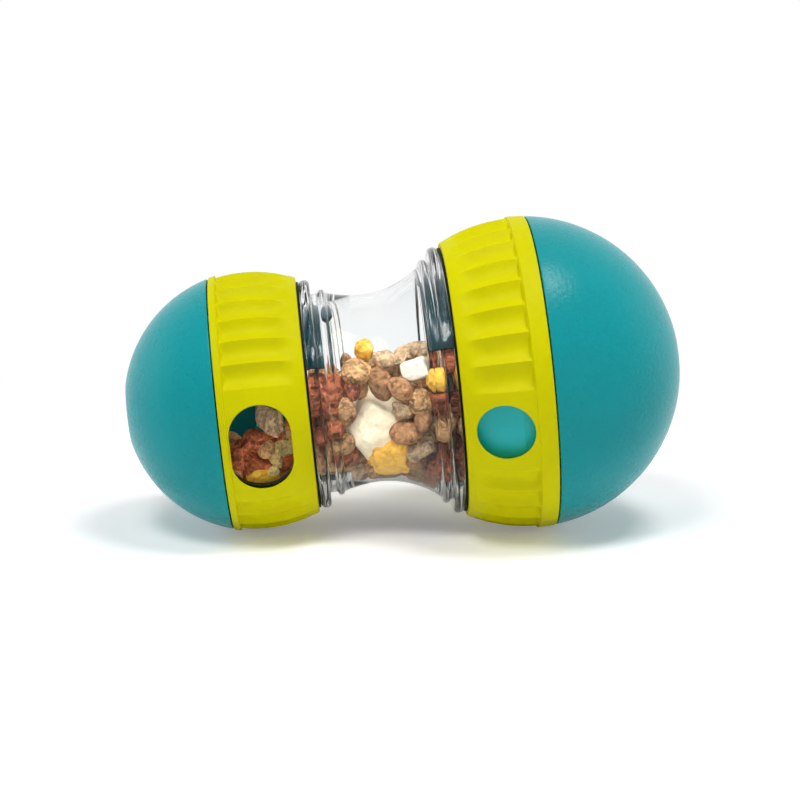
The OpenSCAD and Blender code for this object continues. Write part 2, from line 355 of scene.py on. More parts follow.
def join_runs(runs, corners):
    """Joins runs with rounded corners; a corner that is None joins them straight."""
    profile = []
    for index, run in enumerate(runs):
        profile += run
        following = runs[(index + 1) % len(runs)]
        if index < len(corners) and corners[index] is not None:
            profile += soft_corner(run[-1], corners[index], following[0])
    return profile


def slice_r(ball_r, z):
    return math.sqrt(ball_r * ball_r - z * z)


# Places of the ends

def both_ends():
    """Name and sizes of each end."""
    scene = bpy.context.scene
    return ("small", scene.toy_small_end), ("large", scene.toy_large_end)


def end_place(end, drop):
    """Frame of an end: Z outwards along the toy, X towards its outlet."""
    joint = JOINTS[end + "_gate_turn"]
    outward = Vector(joint["axis"]).normalized()
    upward = outward.cross(NEAR)
    if upward.z < 0:
        upward.negate()
    to_outlet = NEAR * math.cos(drop) - upward * math.sin(drop)
    place = Matrix((to_outlet, outward.cross(to_outlet), outward)).transposed().to_4x4()
    place.translation = Vector(joint["pos_m"])
    return place


def row_place():
    """Frame of the whole toy: Z along it from the small ball's middle, X to the near side."""
    joint = JOINTS["small_gate_turn"]
    along = -Vector(joint["axis"]).normalized()
    place = Matrix((NEAR, along.cross(NEAR), along)).transposed().to_4x4()
    place.translation = Vector(joint["pos_m"])
    return place


# Node groups and materials

# Heights in metres of the grain on mouldings, of the crumbs on treats and of the ripple on the tongues
GRAIN_HEIGHT = 0.0003
CRUMB_HEIGHT = 0.0016
RIPPLE_HEIGHT = 0.0001
# Distance between two crests of the ripple
RIPPLE_PITCH = 0.0028

# Roughness of the sleeves and of their tongues, and where the tongues start inside the necks, with the fade
SLEEVE_ROUGH, TONGUE_ROUGH = 0.4, 0.07
TONGUE_START, TONGUE_FADE = 1.2 * MM, 0.6 * MM
# Distances from the axis, towards the slot, over which the window's edge turns deep in tone as painted
# shade
WINDOW_FROM, WINDOW_AT = 29 * MM, 31 * MM

# Light that some treats get beside the lamps, as a share of their colour: in the slot, and low in the waist
SLOT_GLOW = 0.11
SHADE_GLOW = 0.16

# Tones of the treats run from 0 to 1 at random; those in the small neck run from a start over a spread, and
# those in the slot are raised past them, so that the crust knows them. These higher tones are painted light
# that brightens them
NECK_PAINTED_LIGHT_TONE, NECK_SPREAD = 0.75, 0.3
SLOT_PAINTED_LIGHT_TONE = 1.1

# Palest colour of a crust, as it is never pure white
PALEST = (0.95, 0.95, 0.95)

# Moulded finishes: colour, its strength, grain size, grain depth, unevenness, roughness and specular level
MOULDINGS = {
    "satin_teal": ("teal", 1.0, 1000.0, 0.36, 0.1, 0.28, 0.13),
    "matt_yellow": ("yellow", 1.0, 1500.0, 0.12, 0.1, 0.5, 0.06),
    # The sleeves' teal is the domes' teal made 1.5 times as strong, as painted light for the shade behind
    # the outlets
    "sleeve_teal": ("teal", 1.5, 1100.0, 0.1, 0.08, SLEEVE_ROUGH, 0.34),
    # The seal washers' dark finish is partly painted shade for the gap between a collar and its flange
    "seal_rubber": ("seal", 1.0, 1800.0, 0.2, 0.15, 0.55, 0.1),
}

# Crusts: colour, shares of it in the blotches and the flecks, crumb size, relief, spread of tone and glow
CRUSTS = {
    "round": ("tan", 0.42, 1.4, 640.0, 0.9, 0.5, 0.0),
    "oval": ("brown", 0.5, 1.5, 600.0, 0.6, 0.5, 0.0),
    "russet": ("russet", 0.36, 1.75, 520.0, 1.0, 0.6, 0.0),
    "pale": ("pale", 0.5, 1.1, 640.0, 1.0, 0.08, 0.0),
    "disc": ("russet", 0.45, 1.8, 600.0, 0.8, 0.3, 0.0),
    "cream": ("cream", 0.88, 1.04, 420.0, 0.45, 0.0, SHADE_GLOW / 2),
    "white": ("white", 0.88, 1.03, 420.0, 0.3, 0.0, 0.0),
    "beige": ("beige", 0.55, 1.2, 560.0, 0.9, 0.3, 0.0),
    "amber": ("amber", 0.7, 1.3, 520.0, 0.7, 0.08, 0.0),
    "amber_large": ("gold", 0.76, 1.1, 460.0, 0.8, 0.0, SHADE_GLOW),
}
OUTPUT_KINDS = {
    "Colour": "NodeSocketColor", "Roughness": "NodeSocketFloat", "Normal": "NodeSocketVector",
    "Glow": "NodeSocketColor",
}


def connect(tree, socket, value):
    """Links a socket to another one, or sets its value."""
    if isinstance(value, bpy.types.NodeSocket):
        tree.links.new(value, socket)
    else:
        socket.default_value = value


def add_node(tree, kind, links=None, **settings):
    """Adds a node; links maps its inputs to sockets or values."""
    node = tree.nodes.new(kind)
    for key, value in settings.items():
        setattr(node, key, value)
    for key, value in (links or {}).items():
        connect(tree, node.inputs[key], value)
    return node


def surface_place(tree):
    return add_node(tree, "ShaderNodeTexCoord").outputs["Object"]


def calc(tree, operation, first, second=0.0):
    return add_node(tree, "ShaderNodeMath", {0: first, 1: second}, operation=operation).outputs[0]


def vector_calc(tree, operation, first, second):
    return add_node(tree, "ShaderNodeVectorMath", {0: first, 1: second}, operation=operation).outputs


def scaled(tree, tint, share):
    return add_node(tree, "ShaderNodeVectorMath", {0: tint, "Scale": share}, operation="SCALE").outputs[0]


def noise(tree, place, scale, detail, roughness=0.5):
    return add_node(tree, "ShaderNodeTexNoise", {
        "Vector": place, "Scale": scale, "Detail": detail, "Roughness": roughness,
    }).outputs["Fac"]


def bump(tree, relief, strength, distance):
    return add_node(tree, "ShaderNodeBump", {
        "Height": relief, "Strength": strength, "Distance": distance,
    }).outputs["Normal"]


def mix_colour(tree, factor, first, second):
    """Mixes two colours; a Mix node has its colour sockets past those of its other kinds."""
    return add_node(tree, "ShaderNodeMix", {0: factor, 6: first, 7: second}, data_type="RGBA").outputs[2]


def span(tree, value, low, high, to_low=0.0, to_high=1.0):
    """Maps a value from one range to another, smoothly."""
    node = add_node(tree, "ShaderNodeMapRange", {
        "Value": value, "From Min": low, "From Max": high, "To Min": to_low, "To Max": to_high,
    }, interpolation_type="SMOOTHSTEP")
    return node.outputs["Result"]


def between(tree, value, low, high, fade):
    """1 from low to high, falling to 0 over a fade outside them."""
    rise = span(tree, value, low - fade, low)
    return calc(tree, "MULTIPLY", rise, span(tree, value, high, high + fade, 1.0, 0.0))


def measure(tree, place, start, direction):
    """How far a place lies from a start in one direction."""
    reach = vector_calc(tree, "SUBTRACT", place, tuple(start))[0]
    return vector_calc(tree, "DOT_PRODUCT", reach, tuple(direction))["Value"]


def open_group(name, inputs):
    """Starts a node group; its inputs are colours or numbers, as their defaults are."""
    group = bpy.data.node_groups.new(name, "ShaderNodeTree")
    for label, default in inputs.items():
        kind = "NodeSocketColor" if isinstance(default, tuple) else "NodeSocketFloat"
        group.interface.new_socket(label, in_out="INPUT", socket_type=kind).default_value = default
    return group, group.nodes.new("NodeGroupInput").outputs, surface_place(group)


def close_group(group, **results):
    """Gives a node group its outputs."""
    for label in results:
        group.interface.new_socket(label, in_out="OUTPUT", socket_type=OUTPUT_KINDS[label])
    add_node(group, "NodeGroupOutput", results)
    return group


def moulded_skin():
    """Fine grain and faint unevenness of moulded plastic."""
    if "moulded_skin" in bpy.data.node_groups:
        return bpy.data.node_groups["moulded_skin"]
    group, taken, place = open_group("moulded_skin", {
        "Colour": (1, 1, 1, 1), "Grain Size": 900.0, "Grain Depth": 0.3, "Unevenness": 0.08,
        "Roughness": 0.4,
    })
    grain = noise(group, place, taken["Grain Size"], 2.0, 0.45)
    cloud = calc(group, "ADD", noise(group, place, 60.0, 3.0), noise(group, place, 420.0, 4.0))
    swing = calc(group, "MULTIPLY", calc(group, "SUBTRACT", cloud, 1.0), taken["Unevenness"])
    return close_group(
        group,
        Colour=scaled(group, taken["Colour"], calc(group, "ADD", swing, 1.0)),
        Roughness=calc(group, "ADD", swing, taken["Roughness"]),
        Normal=bump(group, grain, taken["Grain Depth"], GRAIN_HEIGHT),
    )


def crumb_crust():
    """Baked crust of a treat: blotches, flecks and a relief of pits that painted shade darkens, with a tone
    for each treat that is random and that brightens the treats in the slot and the small neck as painted
    light.
    """
    if "crumb_crust" in bpy.data.node_groups:
        return bpy.data.node_groups["crumb_crust"]
    group, taken, place = open_group("crumb_crust", {
        "Colour": (1, 1, 1, 1), "Blotch": (0, 0, 0, 1), "Fleck": (1, 1, 1, 1), "Crumb Size": 700.0,
        "Relief": 0.6, "Tone Spread": 0.4, "Glow": 0.0,
    })
    blotches = noise(group, place, 330.0, 5.0, 0.6)
    crumbs = noise(group, place, taken["Crumb Size"], 5.0, 0.65)
    cells = add_node(group, "ShaderNodeTexVoronoi", {"Vector": place, "Scale": taken["Crumb Size"]})
    pits = cells.outputs["Distance"]
    mottled = mix_colour(group, span(group, blotches, 0.42, 0.62), taken["Colour"], taken["Blotch"])
    flecked = mix_colour(group, span(group, crumbs, 0.5, 0.62, 0.0, 0.9), mottled, taken["Fleck"])
    # Painted shade: the recessed crumb pits take the darker blotch colour
    pit_shaded = mix_colour(group, span(group, pits, 0.0, 0.25, 0.45, 0.0), flecked, taken["Blotch"])
    tone = add_node(group, "ShaderNodeAttribute", attribute_name="tone").outputs["Fac"]
    # The tone scales the colour: at random, and brighter as painted light for the treats in the slot and
    # the small neck
    swing = calc(group, "MULTIPLY", calc(group, "SUBTRACT", tone, 0.5), taken["Tone Spread"])
    toned_with_painted_light = scaled(group, pit_shaded, calc(group, "ADD", swing, 1.0))
    held = vector_calc(group, "MINIMUM", toned_with_painted_light, PALEST)[0]
    in_slot = span(group, tone, NECK_PAINTED_LIGHT_TONE + NECK_SPREAD, SLOT_PAINTED_LIGHT_TONE, 0.0, SLOT_GLOW)
    return close_group(
        group,
        Colour=held,
        Roughness=span(group, crumbs, 0.3, 0.7, 0.62, 0.9),
        Normal=bump(group, calc(group, "ADD", crumbs, pits), taken["Relief"], CRUMB_HEIGHT),
        Glow=scaled(group, held, calc(group, "MAXIMUM", taken["Glow"], in_slot)),
    )


def shade(name, strength=1.0):
    """A colour of the toy, made stronger or weaker."""
    base = getattr(bpy.context.scene.toy_colours, name)
    return (*[min(channel * strength, 1.0) for channel in base], 1.0)


def new_material(name):
    """A new material with its node tree and its shader."""
    material = bpy.data.materials.new(name)
    material.use_nodes = True
    return material, material.node_tree, material.node_tree.nodes["Principled BSDF"]


def group_material(name, group, values, links, constants):
    """A material whose shader takes some of its inputs from a group and the others as constants."""
    material, tree, shader = new_material(name)
    skin = add_node(tree, "ShaderNodeGroup", values, node_tree=group)
    for socket, given in links.items():
        tree.links.new(skin.outputs[given], shader.inputs[socket])
    for socket, value in constants.items():
        shader.inputs[socket].default_value = value
    material.diffuse_color = values["Colour"]
    return material


def moulding(name, constants=None):
    """A moulded finish, made when it is first asked for."""
    if name in bpy.data.materials:
        return bpy.data.materials[name]
    tint, strength, grain, depth, uneven, rough, specular = MOULDINGS[name]
    return group_material(name, moulded_skin(), {
        "Colour": shade(tint, strength), "Grain Size": grain, "Grain Depth": depth, "Unevenness": uneven,
        "Roughness": rough,
    }, {"Base Color": "Colour", "Roughness": "Roughness", "Normal": "Normal"}, {
        "Specular IOR Level": specular, **(constants or {}),
    })


def satin_teal():
    """Satin teal plastic with a fine orange-peel grain."""
    return moulding("satin_teal", {
        "Sheen Weight": 0.02, "Sheen Roughness": 0.4, "Sheen Tint": shade("teal", 2.2),
    })


def sleeve_teal():
    """Teal plastic of the sleeves, brighter than the domes' teal as painted light behind the outlets;
    painted shade turns it deep in tone inside the necks and by the slot, and it is glossy on the tongues.
    """
    if "sleeve_teal" in bpy.data.materials:
        return bpy.data.materials["sleeve_teal"]
    material = moulding("sleeve_teal")
    tree = material.node_tree
    shader = tree.nodes["Principled BSDF"]
    skin = next(node for node in tree.nodes if node.type == "GROUP")
    scene = bpy.context.scene
    row = row_place()
    axis = row.col[2].to_3d()
    throat_s = scene.toy_waist.throat_s
    large_s = (Vector(JOINTS["large_gate_turn"]["pos_m"]) - row.translation).dot(axis)
    fade = 0.5 * MM
    small_edge = -scene.toy_small_end.edge - fade - throat_s
    large_edge = large_s + scene.toy_large_end.edge + fade - throat_s
    place = surface_place(tree)
    along = measure(tree, place, row.translation + axis * throat_s, axis)
    outward = end_place("small", scene.toy_shells.outlet_drop).col[0].to_3d()
    to_slot = measure(tree, place, row.translation, outward)
    # Painted shade: the sleeve turns deep teal inside the necks and at the window's edge by the slot, where
    # it lies in shade
    in_necks = between(tree, along, small_edge, large_edge, fade)
    small_half = span(tree, along, -2 * MM, -1 * MM, 1.0, 0.0)
    by_slot = calc(tree, "MULTIPLY", span(tree, to_slot, WINDOW_FROM, WINDOW_AT), small_half)
    deep = calc(tree, "MAXIMUM", in_necks, by_slot)
    toned_with_painted_light = mix_colour(tree, deep, skin.outputs["Colour"], shade("painted_shade_teal"))
    tongue = between(tree, along, small_edge + TONGUE_START, large_edge - TONGUE_START, TONGUE_FADE)
    wave = calc(tree, "SINE", calc(tree, "MULTIPLY", along, FULL_TURN / RIPPLE_PITCH))
    ripple = calc(tree, "MULTIPLY", wave, tongue)
    connect(tree, shader.inputs["Base Color"], toned_with_painted_light)
    connect(tree, shader.inputs["Roughness"], span(tree, tongue, 0, 1, SLEEVE_ROUGH, TONGUE_ROUGH))
    connect(tree, shader.inputs["Normal"], bump(tree, ripple, 1.0, RIPPLE_HEIGHT))
    return material


def clear_plastic():
    """Clear hard plastic with a trace of unevenness on its surface."""
    material, tree, shader = new_material("clear_plastic")
    wave = noise(tree, surface_place(tree), 90.0, 1.0)
    for socket, value in {
        "Base Color": shade("clear"), "Roughness": 0.01, "IOR": 1.33, "Specular Tint": (0.3, 0.3, 0.3, 1),
        "Transmission Weight": 1.0, "Normal": bump(tree, wave, 0.03, 0.001),
    }.items():
        connect(tree, shader.inputs[socket], value)
    return material


def treat_crust(kind):
    """Baked crust of one kind of treat."""
    tint, darker, lighter, crumb, relief, spread, glow = CRUSTS[kind]
    return group_material(kind + "_crust", crumb_crust(), {
        "Colour": shade(tint), "Blotch": shade(tint, darker), "Fleck": shade(tint, lighter),
        "Crumb Size": crumb, "Relief": relief, "Tone Spread": spread, "Glow": glow,
    }, {
        "Base Color": "Colour", "Roughness": "Roughness", "Normal": "Normal", "Emission Color": "Glow",
    }, {"Specular IOR Level": 0.25, "Emission Strength": 1.0})


# Pieces

# Steps round a dome and the waist, and for each flute place of a collar
DOME_STEPS, WAIST_STEPS, FLUTE_STEPS = 160, 240, 16

# Greatest angles, in degrees, between faces that are shaded as one surface
DOME_SMOOTH, COLLAR_SMOOTH, WAIST_SMOOTH, TREAT_SMOOTH = 40, 32, 60, 80

# Share of a flute place that its scoop takes up, and the length over which flutes run out at the rim
SCOOP_SHARE = 0.97
FLUTE_RUN_OUT = 0.9 * MM

# Depth and height to which an outlet's cutter reaches past the collar's wall
CUTTER_IN, CUTTER_OUT = 8 * MM, 4 * MM

# Rounding of the waist's corners, and the angles left out of its arcs for them, less at the lip's foot
WAIST_ROUND = 0.35 * MM
ARC_EASE, FOOT_EASE = 0.25, 0.2

# Thread ridges in a neck: half their turn and its run-out, distance in from the face, half width and slope
RIDGE_HALF, RIDGE_RUN_OUT = math.radians(38), math.radians(4)
RIDGE_IN = 2.17 * MM
RIDGE_W, RIDGE_SLOPE = 0.85 * MM, 0.45 * MM


class TOY_OT_domes(bpy.types.Operator):
    """Add the two teal domes"""

    bl_idname = "toy.domes"
    bl_label = "Domes"

    def execute(self, context):
        shell = context.scene.toy_shells
        rounding = shell.edge_round
        for end, sizes in both_ends():
            seam, ball_r, inner = sizes.seam, sizes.ball_r, sizes.dome_in_r
            socket_end = seam + shell.socket_len
            foot_r = slice_r(ball_r, seam)
            runs = [
                ball_run(ball_r, ball_r, seam + rounding, 64),
                line_run((foot_r - rounding, seam), (sizes.socket_r + rounding, seam), 2),
                line_run((sizes.socket_r, seam + rounding), (sizes.socket_r, socket_end), 3),
                ball_run(inner, socket_end, inner, 40),
            ]
            corners = [(foot_r, seam), (sizes.socket_r, seam), None]
            dome = lathe(end + "_dome_shell", join_runs(runs, corners), DOME_STEPS, open_axis=True)
            smooth(dome, DOME_SMOOTH)
            put(dome, end_place(end, shell.outlet_drop))
            finish_piece(dome, satin_teal(), end + "_cap", end + "_dome")
        return {"FINISHED"}


def collar_profile(sizes, shell):
    """Closed profile of a collar, and the range of heights of its gripping band."""
    rounding = shell.edge_round
    step_round = rounding * 0.7
    grip_r = sizes.ball_r - shell.grip_recess
    rim_r = sizes.ball_r + shell.rim_proud
    low, step, top = sizes.edge, sizes.seam - sizes.rim_w, sizes.seam - shell.seam_gap
    foot, crest = slice_r(grip_r, step), slice_r(rim_r, step)
    edge_r, top_r = slice_r(grip_r, low), slice_r(rim_r, top)
    band = low + rounding, step - step_round
    runs = [
        ball_run(grip_r, *band, 40),
        [(foot + step_round, step), (crest - step_round, step)],
        ball_run(rim_r, step + step_round, top - rounding, 9),
        [(top_r - rounding, top), (sizes.bore_r + rounding, top)],
        line_run((sizes.bore_r, top - rounding), (sizes.bore_r, shell.taper_start), 6),
        line_run((sizes.bore_r, shell.taper_start), (sizes.edge_bore_r, low + rounding), 6)[1:],
        [(sizes.edge_bore_r + rounding, low), (edge_r - rounding, low)],
    ]
    corners = [
        (foot, step), (crest, step), (top_r, top), (sizes.bore_r, top), None,
        (sizes.edge_bore_r, low), (edge_r, low),
    ]
    return join_runs(runs, corners), band


def flute_weights(points, sizes, shell, band):
    """Depth of the flutes at each point of a collar, as a share of their full depth."""
    grip_r = sizes.ball_r - shell.grip_recess
    step, fade = sizes.seam - sizes.rim_w, sizes.edge + shell.flute_fade
    z = points[:, 2]
    reach = np.linalg.norm(points, axis=1)
    on_band = (np.abs(reach - grip_r) < 2e-5) & (z > band[0] - 1e-6) & (z < band[1] + 1e-6)
    first = sizes.smooth / 2 + 0.5
    turn = np.arctan2(points[:, 1], points[:, 0]) % FULL_TURN * sizes.flutes / FULL_TURN - first
    place = np.round(turn)
    across = 2 * np.abs(turn - place)
    scoop = np.maximum(1 - (across / SCOOP_SHARE) ** 2, 0)
    cut_here = (place >= 0) & (place <= sizes.flutes - 1 - sizes.smooth)
    rise = np.clip((z - fade) / shell.flute_run, 0, 1)
    run_in = rise * rise * (3 - 2 * rise)
    run_out = np.clip((step - z) / FLUTE_RUN_OUT, 0, 1) ** 0.7
    return np.where(on_band & cut_here, scoop * run_in * run_out, 0)


def outlet_cutter(sizes, shell):
    """Cutter of an outlet, whose mouth flares where it meets the gripping band."""
    grip_r = sizes.ball_r - shell.grip_recess
    straight = (sizes.outlet_l - sizes.outlet_w) / 2
    turns = np.linspace(0, FULL_TURN, 96, endpoint=False)

    def row(grow, rise):
        around = sizes.outlet_w / 2 + grow
        y = around * np.sin(turns)
        y = y + np.where(y >= 0, straight, -straight)
        z = around * np.cos(turns) + sizes.outlet_z
        x = np.sqrt(grip_r ** 2 - y ** 2 - z ** 2) + rise
        return np.stack([x, y, z], 1)

    lip = shell.outlet_lip
    mouth = lip * 1.02
    inside = sizes.edge_bore_r - CUTTER_IN
    rows = [row(shell.outlet_draft * (grip_r - inside), 0), row(0, -lip)]
    rows[0][:, 0] = inside
    for share in np.linspace(0.15, 0.92, 6):
        bend = share * math.pi / 2
        rows.append(row(lip * (1 - math.cos(bend)), lip * (math.sin(bend) - 1)))
    rows += [row(mouth, 0.02 * MM), row(mouth, 0)]
    rows[-1][:, 0] = grip_r + CUTTER_OUT
    return rolled_grid("outlet_cutter", rows)


class TOY_OT_collars(bpy.types.Operator):
    """Add the two yellow collars with their flutes, rims and outlets"""

    bl_idname = "toy.collars"
    bl_label = "Collars"

    def execute(self, context):
        shell = context.scene.toy_shells
        for end, sizes in both_ends():
            profile, band = collar_profile(sizes, shell)
            collar = lathe(end + "_collar_ring", profile, sizes.flutes * FLUTE_STEPS)
            weights = flute_weights(get_points(collar), sizes, shell, band)
            if weights.max() <= 0:
                raise RuntimeError("the flutes found no gripping band")
            press(collar, "flutes", weights, -shell.flute_depth)
            cut(collar, outlet_cutter(sizes, shell))
            smooth(collar, COLLAR_SMOOTH)
            put(collar, end_place(end, shell.outlet_drop))
            finish_piece(collar, moulding("matt_yellow"), end + "_collar", end + "_collar")
        return {"FINISHED"}


def waist_end(sizes, end):
    """Face, flange radius, groove radius and lip place of one end of the waist."""
    return [getattr(sizes, end + field) for field in ("_face", "_flange_r", "_groove_r", "_lip")]


def waist_arc(sizes, groove_r, lip_at):
    """Radius of the arc from throat to lip, and its middle's distance from the axis."""
    flare = groove_r + sizes.lip_h - sizes.lip_round / 2 - sizes.throat_r
    arc_r = (lip_at ** 2 + flare ** 2) / (2 * flare)
    return arc_r, sizes.throat_r + arc_r


def arc_run(middle_r, middle_z, radius, start, end, steps):
    """Points on an arc between two angles."""
    return [(middle_r + radius * math.cos(a), middle_z + radius * math.sin(a))
            for a in np.linspace(start, end, steps)]


def half_waist(sizes, end):
    """Outer and inner runs of one half of the waist, from the throat out and back again."""
    face, flange_r, groove_r, lip_at = waist_end(sizes, end)
    rounding = WAIST_ROUND
    arc_r, arc_mid = waist_arc(sizes, groove_r, lip_at)
    neck_r = groove_r - sizes.wall

    def outer(z):
        return arc_mid - math.sqrt(arc_r ** 2 - z * z)

    def inner(z):
        return arc_mid - math.sqrt((arc_r + sizes.chamber_wall) ** 2 - z * z)

    lip_round = sizes.lip_round
    lip_mid = groove_r + sizes.lip_h - lip_round
    meet = next(z for z in np.linspace(lip_at - 2 * lip_round, lip_at, 400)
                if math.hypot(outer(z) - lip_mid, z - lip_at) <= lip_round)
    curve = [(outer(z), z) for z in np.linspace(0, meet - 0.3 * MM, 40)]
    lip_start = math.atan2(meet - lip_at, outer(meet) - lip_mid) + ARC_EASE
    lip_end = math.acos((groove_r - lip_mid) / lip_round) - FOOT_EASE
    lip = arc_run(lip_mid, lip_at, lip_round, lip_start, lip_end, 14)
    lip_foot = lip_at + math.sqrt(lip_round ** 2 - (groove_r - lip_mid) ** 2)
    back, middle = face - sizes.flange_w, face - sizes.flange_w / 2
    crown_r = 0.6 * sizes.flange_w
    crown_mid = flange_r - crown_r
    tip = math.asin(sizes.flange_w / 2 / crown_r)
    side_r = crown_mid + crown_r * math.cos(tip)
    runs = [
        curve, lip,
        [(groove_r, lip_foot + rounding), (groove_r, back - rounding)],
        line_run((groove_r + rounding, back), (side_r - rounding, back), 4),
        arc_run(crown_mid, middle, crown_r, -tip + ARC_EASE, tip - ARC_EASE, 14),
        line_run((side_r - rounding, face), (neck_r + rounding, face), 5),
    ]
    corners = [
        (outer(meet), meet), (groove_r, lip_foot), (groove_r, back), (side_r, back), (side_r, face),
    ]
    outside = join_runs(runs, corners)
    ledge = face - sizes.tongue_room
    if inner(ledge) < neck_r - rounding:
        bore_end, wall_start = ledge, ledge - rounding
        shelf = [[(neck_r - rounding, ledge), (inner(ledge) + rounding, ledge)]]
        bore_corners = [(neck_r, ledge), (inner(ledge), ledge)]
    else:
        bore_end = next(z for z in np.linspace(ledge, 0, 800) if inner(z) <= neck_r)
        wall_start = bore_end - 2 * rounding
        shelf = []
        bore_corners = [(neck_r, bore_end)]
    bore = line_run((neck_r, face - rounding), (neck_r, bore_end + rounding), 26)
    wall = [(inner(z), z) for z in np.linspace(wall_start, 0, 36)]
    inside = join_runs([bore, *shelf, wall], bore_corners)
    return outside, soft_corner(outside[-1], (neck_r, face), inside[0]) + inside


def ridge_weights(points, sizes, end):
    """Where the thread ridges stand on a neck's bore, from 0 to 1."""
    face, _, groove_r, _ = waist_end(sizes, end)
    side = 1 if end == "large" else -1
    z = side * points[:, 2]
    radius = np.hypot(points[:, 0], points[:, 1])
    on_neck = (z > face - sizes.tongue_room) & (z < face)
    on_bore = (np.abs(radius - (groove_r - sizes.wall)) < 2e-5) & on_neck
    turn = np.arctan2(-points[:, 1], points[:, 0])
    weights = np.zeros(len(points))
    for tongue in (TONGUE_MIDDLE, TONGUE_MIDDLE + math.pi):
        offset = (turn - tongue + math.pi) % FULL_TURN - math.pi
        climb = -side * offset
        across = np.abs(z - (face - RIDGE_IN + sizes.lead * climb / FULL_TURN))
        bar = np.clip((RIDGE_W - across) / RIDGE_SLOPE, 0, 1)
        run_out = np.clip((RIDGE_HALF - np.abs(offset)) / RIDGE_RUN_OUT, 0, 1)
        weights = np.maximum(weights, bar * run_out)
    return np.where(on_bore, weights, 0)


class TOY_OT_waist(bpy.types.Operator):
    """Add the clear waist with its flanges, lips and thread ridges"""

    bl_idname = "toy.waist"
    bl_label = "Clear waist"

    def execute(self, context):
        sizes = context.scene.toy_waist
        large_out, large_in = half_waist(sizes, "large")
        small_out, small_in = half_waist(sizes, "small")
        flipped_in = [(r, -z) for r, z in reversed(small_in)]
        flipped_out = [(r, -z) for r, z in reversed(small_out)]
        profile = large_out + large_in + flipped_in[1:] + flipped_out[:-1]
        waist = lathe("clear_waist", profile, WAIST_STEPS)
        for end in ("small", "large"):
            weights = ridge_weights(get_points(waist), sizes, end)
            if weights.max() <= 0:
                raise RuntimeError("the thread ridges found no bore")
            press(waist, end + "_ridges", weights, sizes.ridge_h)
        smooth(waist, WAIST_SMOOTH)
        place = row_place()
        place.translation = place.translation + place.col[2].to_3d() * sizes.throat_s
        put(waist, place)
        finish_piece(waist, clear_plastic(), "waist", "waist")
        waist.visible_shadow = False
        return {"FINISHED"}


class TOY_OT_inner_parts(bpy.types.Operator):
    """Finish the sleeves and the seal washers, which keep their built shapes"""

    bl_idname = "toy.inner_parts"
    bl_label = "Sleeves and seals"

    def execute(self, context):
        for end, _ in both_ends():
            for part, material in (("_sleeve", sleeve_teal()), ("_seal", moulding("seal_rubber"))):
                for slot in frame["nodes"][end + part].material_slots:
                    slot.material = material
        return {"FINISHED"}


# Treats, whose places are along, near and up in the toy from the small ball's middle, in millimetres

TREAT_SEED = 11
TREAT_COUNT = 380
TILT = math.asin(-Vector(JOINTS["small_gate_turn"]["axis"]).normalized().z)

# Room inside the toy: start, end and free radius at the tongues, in the large neck and at the shoulders
TONGUE_SPANS = ((16.0, 26.9, 26.4), (55.8, 64.0, 32.6))
LARGE_NECK_START, LARGE_NECK_R = 56.2, 35.2
SMALL_STEP, LARGE_STEP = 8.0, 72.4
SMALL_SHOULDER = (-math.inf, 17.0, 26.1)
LARGE_SHOULDER = (63.2, LARGE_STEP, 32.2)
# Room in the sleeves past their shoulders: start, radius there, widening for each millimetre, widest radius
SMALL_DRUM = (8.2, 32.8, 0.2188, 34.9)
LARGE_DRUM = (72.1, 39.0, 0.2598, 43.1)
SMALL_BALL_END = -16.3
WALL_GAP, DOME_GAP = 0.15, 0.35
# Room that treats leave beside the step of a shoulder, for when its cap is lifted
STEP_MARGIN = 1.3

# Heap: its ends, radii of its treats, where they start, and how they fall and push each other apart
PILE_START, PILE_END = -24.0, 80.0
TREAT_RADII = (3.6, 4.9)
START_MARGIN, START_REACH = 5, 40
SETTLE_STEPS, FALL_STEPS, FALL = 260, 200, 0.35
CLOSENESS, PUSH = 0.93, 0.35
# Share of its radius at which a treat rests on a wall
WALL_SHARE = 0.86

# Top of the heap: place along and level. Behind the slot it slopes down away from the near side
HEAP_TOP = ((-5, -11), (8, -5), (17, 8), (27, 13), (42, 15), (60, 18), (80, 14))
SLOPE_END, SLOPE_FROM, SLOPE = 15, 16, 0.4
# Depths from the wall and from the top to which treats are kept
WALL_DEPTH, TOP_DEPTH = 12, 14
# Rise of the line of sight for each millimetre, and share of a set treat that is kept in view
SIGHT_RISE, SIGHT_SHARE = 0.21, 0.8

# Ends of the slot's and the small neck's treats, and of the middle with its own mix of kinds
SLOT_END, NECK_END = 14, 26
MIDDLE_START, MIDDLE_END = 25, 56
END_MIX = {"russet": 0.48, "oval": 0.24, "round": 0.24, "beige": 0.04}
MIDDLE_MIX = {"round": 0.42, "oval": 0.34, "russet": 0.13, "beige": 0.08, "amber": 0.03}

# Forms: number of variants, fineness, stretch, and strength of the broad and the fine unevenness
FORMS = {
    "round": (3, 3, (1.06, 1.04, 0.74), 0.07, 0.04),
    "oval": (3, 3, (1.28, 0.92, 0.78), 0.06, 0.03),
    "russet": (4, 3, (1.12, 0.95, 0.9), 0.18, 0.1),
    "beige": (2, 4, (1, 1, 1), 0.35, 0.12),
    "amber": (2, 4, (1, 1, 1), 0.3, 0.12),
    "amber_large": (1, 5, (1, 1, 1), 0.42, 0.3),
    "cream": (1, 5, (1, 1, 1), 0.16, 0.06),
    "white": (1, 5, (1.15, 0.95, 0.95), 0.12, 0.05),
    "pale": (1, 4, (1, 1, 0.7), 0.16, 0.08),
}
BROAD_SIZE, FINE_SIZE, DISC_SIZE, DISC_UNEVEN = 0.8, 0.22, 0.5, 0.1
DISC_PROFILE = (
    (0, 0.1), (0.5, 0.04), (0.85, -0.12), (0.98, -0.24), (1.0, -0.34), (0.95, -0.42), (0.82, -0.38),
    (0.5, -0.22), (0, -0.14),
)
